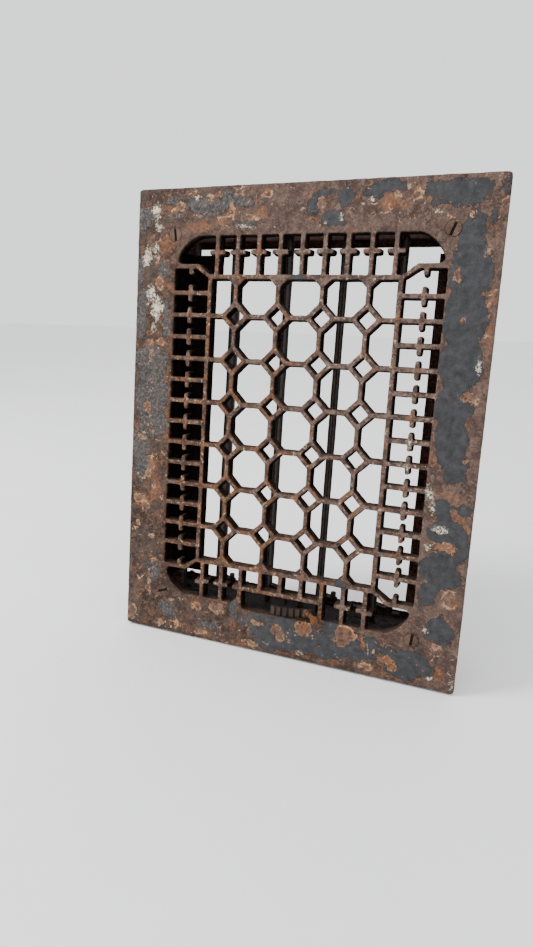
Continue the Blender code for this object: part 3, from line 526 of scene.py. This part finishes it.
def rusty_iron(name):
    """Bare rusty iron, with near-black painted shade where the mesh's painted_shade attribute says so."""
    rust, orange_share, rough, grain = IRONS[name]
    s = Shading(name)
    colour = rust_colour(s, rust, orange_share, grain)
    colour = s.blend(s.attribute("painted_shade"), colour, s.mottle(PAINTED_SHADE_MOTTLE, 500, 0.45, 0.7, detail=5))
    roughness = s.between(s.noise(300, 4, 0.6), rough - 0.15, rough + 0.1)
    s.shader.inputs["Specular IOR Level"].default_value = 0.2
    return s.finish(colour, roughness, iron_height(s), RELIEF)


def rusty_ground(s):
    """The face's rust, cool to the upper right and warm to the lower left."""
    cool = rust_colour(s, COOL_RUST, -0.03, 0.6)
    warm = rust_colour(s, WARM_RUST, -0.02, 0.7)
    return s.blend(s.attribute("warmth"), cool, warm)


def worn_lattice_with_highlights(s, colour):
    """The lattice's bars, darker than the rim, with dusty and rusty wear, and pale flecks that are partly
    painted highlights.
    """
    lattice = s.attribute("lattice")
    colour = s.cover(colour, LATTICE_SHADE, lattice, 0.5)
    rusty = s.plus(s.noise(95, 5, 0.65), s.times(s.attribute("warmth"), 0.16))
    wear = s.blend(s.step(rusty, 0.54, 0.64), *LATTICE_WEAR)
    colour = s.cover(colour, wear, s.times(lattice, s.spots(270, 0.44, 0.6)), 0.7)
    # Pale flecks on the bars, partly painted highlight
    flecks_and_highlights = s.times(lattice, s.spots(340, 0.58, 0.66, distortion=0.6))
    return s.cover(colour, PALE_FLECK_AND_HIGHLIGHT, flecks_and_highlights, 0.9)


def stained(s, colour):
    """Dark stains where the mesh's stain attribute allows them."""
    stains = s.times(s.spots(48, 0.45, 0.58, 7, 0.68, 0.6), s.attribute("stain"))
    return s.blend(stains, colour, s.mottle(STAIN, 230, 0.4, 0.64))


def with_fresh_rust(s, colour, tear):
    """A bloom of orange rust in the orange patches."""
    depth = s.plus(s.attribute("orange"), s.times(tear, 5.0))
    bloom = s.times(s.step(depth, 0.0, 3.0), s.spots(340, 0.35, 0.62, detail=5))
    return s.cover(colour, s.mottle(FRESH_RUST, 500, 0.38, 0.62, detail=5), bloom, 0.75)


def slate_paint(s):
    """Slate paint, mottled, scuffed, and olive and dusty where the mesh's dull attribute says so."""
    dull = s.attribute("dull")
    paint = s.mottle(SLATE, 200, 0.34, 0.74, roughness=0.65)
    paint = s.blend(s.times(s.spots(75, 0.4, 0.56), dull), paint, s.mottle(OLIVE, 210, 0.4, 0.62))
    dusty = s.times(s.spots(450, 0.48, 0.64, roughness=0.75), dull)
    paint = s.cover(paint, DUST, dusty, 0.9)
    return s.cover(paint, SCUFF, s.spots(330, 0.6, 0.72), 0.8)


def with_slate(s, colour, tear):
    """The slate patches with a jagged, rusty edge, and where they are."""
    jagged = s.swing(9.0, 230, 7, 0.8, 0.4)
    depth = s.plus(s.plus(s.attribute("slate"), s.times(tear, 3.2)), jagged)
    edge = s.times(s.step(depth, -1.4, -0.1), s.spots(150, 0.5, 0.62, detail=5))
    colour = s.cover(colour, EDGE_RUST, edge, 0.75)
    on_slate = s.step(depth, 0.0, 0.25)
    return s.blend(on_slate, colour, slate_paint(s)), on_slate


def with_flakes(s, colour):
    """Small flakes that have lifted to tan and rust."""
    flakes = s.times(s.spots(170, 0.62, 0.65, distortion=1.4), s.attribute("flaky"))
    return s.blend(flakes, colour, s.mottle(FLAKE, 120, 0.45, 0.55, 4, 0.6))


def with_bare_iron(s, colour):
    """The peeled patches: bare grainy iron with a broken tan rim, partly a painted highlight along the lifted
    paint edge, and where they are.
    """
    torn = s.minus(s.swing(13.0, 190, 7, 0.78, 0.5), 0.2)
    depth = s.plus(s.attribute("peeled"), torn)
    rusty = s.times(s.spots(60, 0.5, 0.62, 5, 0.65), s.spots(300, 0.4, 0.6, detail=5))
    bare = s.blend(rusty, s.mottle(BARE_IRON, 260, 0.4, 0.62, roughness=0.75), BARE_RUST)
    on_bare = s.step(depth, 0.0, 0.2)
    colour = s.blend(on_bare, colour, bare)
    # Tan rim round a peeled patch, partly painted highlight
    tan_rim_and_highlight = s.times(s.step(depth, -0.3, 0.1), s.step(depth, 1.0, 0.5))
    tan_rim_and_highlight = s.times(tan_rim_and_highlight, s.spots(170, 0.46, 0.54, detail=5))
    return s.cover(colour, RIM_TAN_AND_HIGHLIGHT, tan_rim_and_highlight, 0.9), on_bare


def with_cream(s, colour, tear):
    """The cream patches, speckled through, and where they are."""
    speckle = s.swing(30.0, 430, 7, 0.85)
    depth = s.plus(s.plus(s.attribute("cream"), s.times(tear, 2.0)), speckle)
    on_cream = s.step(depth, 1.3, 1.8)
    return s.blend(on_cream, colour, s.mottle(CREAM, 380, 0.4, 0.6, detail=5)), on_cream


def painted_face():
    """Rust with the last slate and cream paint in ragged patches, tan and orange round their edges, the tan
    partly a painted highlight.
    """
    s = Shading("rusty_painted_face")
    painted_shade = s.attribute("painted_shade")
    tear = s.plus(s.swing(1.6, 420, roughness=0.74), s.swing(1.8, 110))
    colour = stained(s, worn_lattice_with_highlights(s, rusty_ground(s)))
    colour = with_fresh_rust(s, colour, tear)
    colour, on_slate = with_slate(s, colour, tear)
    colour = with_flakes(s, colour)
    colour, on_bare = with_bare_iron(s, colour)
    colour, on_cream = with_cream(s, colour, tear)
    # Painted shade: the bars' sides and backs go near black
    colour = s.blend(painted_shade, colour, PAINTED_SHADE_BLACK)
    painted = s.math("MAXIMUM", s.minus(on_slate, on_bare), on_cream)
    # Painted shade also takes the shine away
    s.tree.links.new(s.times(s.minus(1.0, painted_shade), 0.22), s.shader.inputs["Specular IOR Level"])
    height = s.plus(iron_height(s), s.times(painted, PAINT_RELIEF))
    return s.finish(colour, s.between(painted, 0.9, 0.62), height, RELIEF)


# Pieces


def widen_bars(mesh):
    """Gives the lattice its moulding draft: each bar is wider at its back than at its face."""
    points = points_of(mesh)
    normals = normals_of(mesh)
    sideways = np.hypot(normals[:, 0], normals[:, 2])
    depth = slope(points[:, 1], FACE_FRONT, LATTICE_DEPTH)
    push_out(mesh, in_opening(points) * sideways * (FACE_SWELL + DRAFT * depth))


def add_face():
    """The face casting, with its paint masks and painted shade stored on the mesh."""
    piece = copy_of("face_plate", "face_casting")
    voxel_skin(piece, FACE_CUBE, 1)
    widen_bars(piece.data)
    roughen(piece.data, FACE_LUMP, FACE_SEED)
    thin_out(piece, FACE_TRIANGLES)
    mesh = piece.data
    masks = patch_masks(mesh) | weather_masks(mesh)
    for name, values in masks.items():
        store(mesh, name, values)
    painted = np.clip(masks["slate"], 0, 1) * np.clip(-masks["peeled"] * 2, 0, 1)
    push_out(mesh, painted * facing_front(mesh) * PAINT_THICKNESS)
    finish_piece(piece, "face_plate", painted_face())


def shape_casting(piece, node, length, seed):
    """Gives a piece a cast skin as fine as its size and its grooves need."""
    if node == "end_wall_bottom":
        sliced_skin(piece, BOTTOM_SQUARE, CORNER_ROUND)
        roughen(piece.data, BOTTOM_LUMP, seed)
        pile_dirt(piece.data)
    elif length > PLATE_LENGTH:
        sliced_skin(piece, WALL_SQUARE, CORNER_ROUND)
        roughen(piece.data, WALL_LUMP, seed)
    elif node == "thumb_lever" or "screw" in node:
        voxel_skin(piece, FINE_CUBE, 2)
        roughen(piece.data, FINE_LUMP, seed)
    else:
        voxel_skin(piece, PIECE_CUBE, 2)
        roughen(piece.data, PIECE_LUMP, seed)


def hollow_darkening(depth):
    """Darkening in a slot or a groove, growing with the depth below a piece's outer surface."""
    return np.clip((depth - DARKENING_START) / DARKENING_SPAN, 0, 0.9)


def add_painted_shade(mesh, node, front):
    """Stores the painted shade of a piece that has some: a shaded inner side, or darkening in its slot or
    grooves.
    """
    points = points_of(mesh)
    if node in PAINTED_SHADE_SIDES:
        # Painted shade on an inner side that faces this way
        towards = normals_of(mesh) @ np.array(PAINTED_SHADE_SIDES[node])
        store(mesh, "painted_shade", np.clip(towards * 2 - 0.6, 0, 0.9))
    # Darker the deeper a point lies in a screw's slot or between the lever's ridges
    elif "screw" in node:
        store(mesh, "painted_shade", hollow_darkening(points[:, 1] - front))
    elif node == "thumb_lever":
        reach = np.hypot(points[:, 0], points[:, 1] - PIVOT_Y)
        store(mesh, "painted_shade", hollow_darkening(reach.max() - reach))


def add_castings():
    """The rest of the grille, each piece from its own node, in the iron that its slot is made of."""
    irons = {name: rusty_iron(name) for name in IRONS}
    irons["face_iron"] = irons["screw_iron"]
    castings = [node for node in frame["nodes"] if node != "face_plate"]
    for seed, node in enumerate(castings, FIRST_SEED):
        low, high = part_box(node)
        piece = copy_of(node, node + "_cast")
        shape_casting(piece, node, max(high - low), seed)
        add_painted_shade(piece.data, node, low.y)
        finish_piece(piece, node, irons[node_slot(node)])


# Studio

# The floor is just under the lower edge and leans back as the grille does
FLOOR_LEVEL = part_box("face_plate")[0].z - 0.5 * MM
FLOOR_LEAN = math.radians(9)
FLOOR_SIZE = 6
SKY = (0.86, 0.87, 0.88, 1)
SKY_STRENGTH = 1.7
# The camera's place and the ways that it looks and holds its top
CAMERA_PLACE = (0.1487, FACE_FRONT - 0.4426, 0.0389)
CAMERA_FORWARD = (-0.3454, 0.9261, -0.1519)
CAMERA_UP = (-0.1120, 0.1200, 0.9864)


def add_floor():
    """A pale floor with a slight unevenness."""
    bpy.ops.mesh.primitive_plane_add(
        size=FLOOR_SIZE, location=(0, 0, FLOOR_LEVEL), rotation=(FLOOR_LEAN, 0, 0)
    )
    floor = bpy.context.object
    floor.name = "floor"
    s = Shading("pale_floor")
    colour = s.blend(s.noise(9, 3, 0.6), *PALE_FLOOR)
    height = s.noise(60, 4, 0.6)
    floor.data.materials.append(s.finish(colour, s.between(height, 0.5, 0.6), height, 0.4 * MM))


def add_area_light(name, place, size, power):
    """A round light that faces the grille's centre."""
    light = bpy.data.lights.new(name, "AREA")
    light.shape = "DISK"
    light.size = size
    light.energy = power
    lamp = bpy.data.objects.new(name, light)
    lamp.location = place
    lamp.rotation_euler = (-Vector(place)).to_track_quat("-Z", "Y").to_euler()
    bpy.context.scene.collection.objects.link(lamp)


def add_lights():
    world = bpy.data.worlds.new("studio")
    world.use_nodes = True
    background = world.node_tree.nodes["Background"]
    background.inputs["Color"].default_value = SKY
    background.inputs["Strength"].default_value = SKY_STRENGTH
    bpy.context.scene.world = world
    add_area_light("key", place=(-1.0, -0.6, 1.0), size=0.5, power=24)
    add_area_light("fill", place=(1.0, -0.9, 0.5), size=1.0, power=1.5)


def add_camera():
    """Three quarters from the right and a little above, with a phone's wide lens held close."""
    camera = bpy.data.cameras.new("camera")
    camera.sensor_fit = "VERTICAL"
    camera.sensor_height = 36
    camera.lens = 23.76
    holder = bpy.data.objects.new("camera", camera)
    forward = Vector(CAMERA_FORWARD).normalized()
    right = forward.cross(Vector(CAMERA_UP)).normalized()
    up = right.cross(forward)
    turn = Matrix((right, up, -forward)).transposed()
    holder.matrix_world = Matrix.Translation(CAMERA_PLACE) @ turn.to_4x4()
    bpy.context.scene.collection.objects.link(holder)
    bpy.context.scene.camera = holder


add_camera()
add_lights()
add_floor()
add_face()
add_castings()
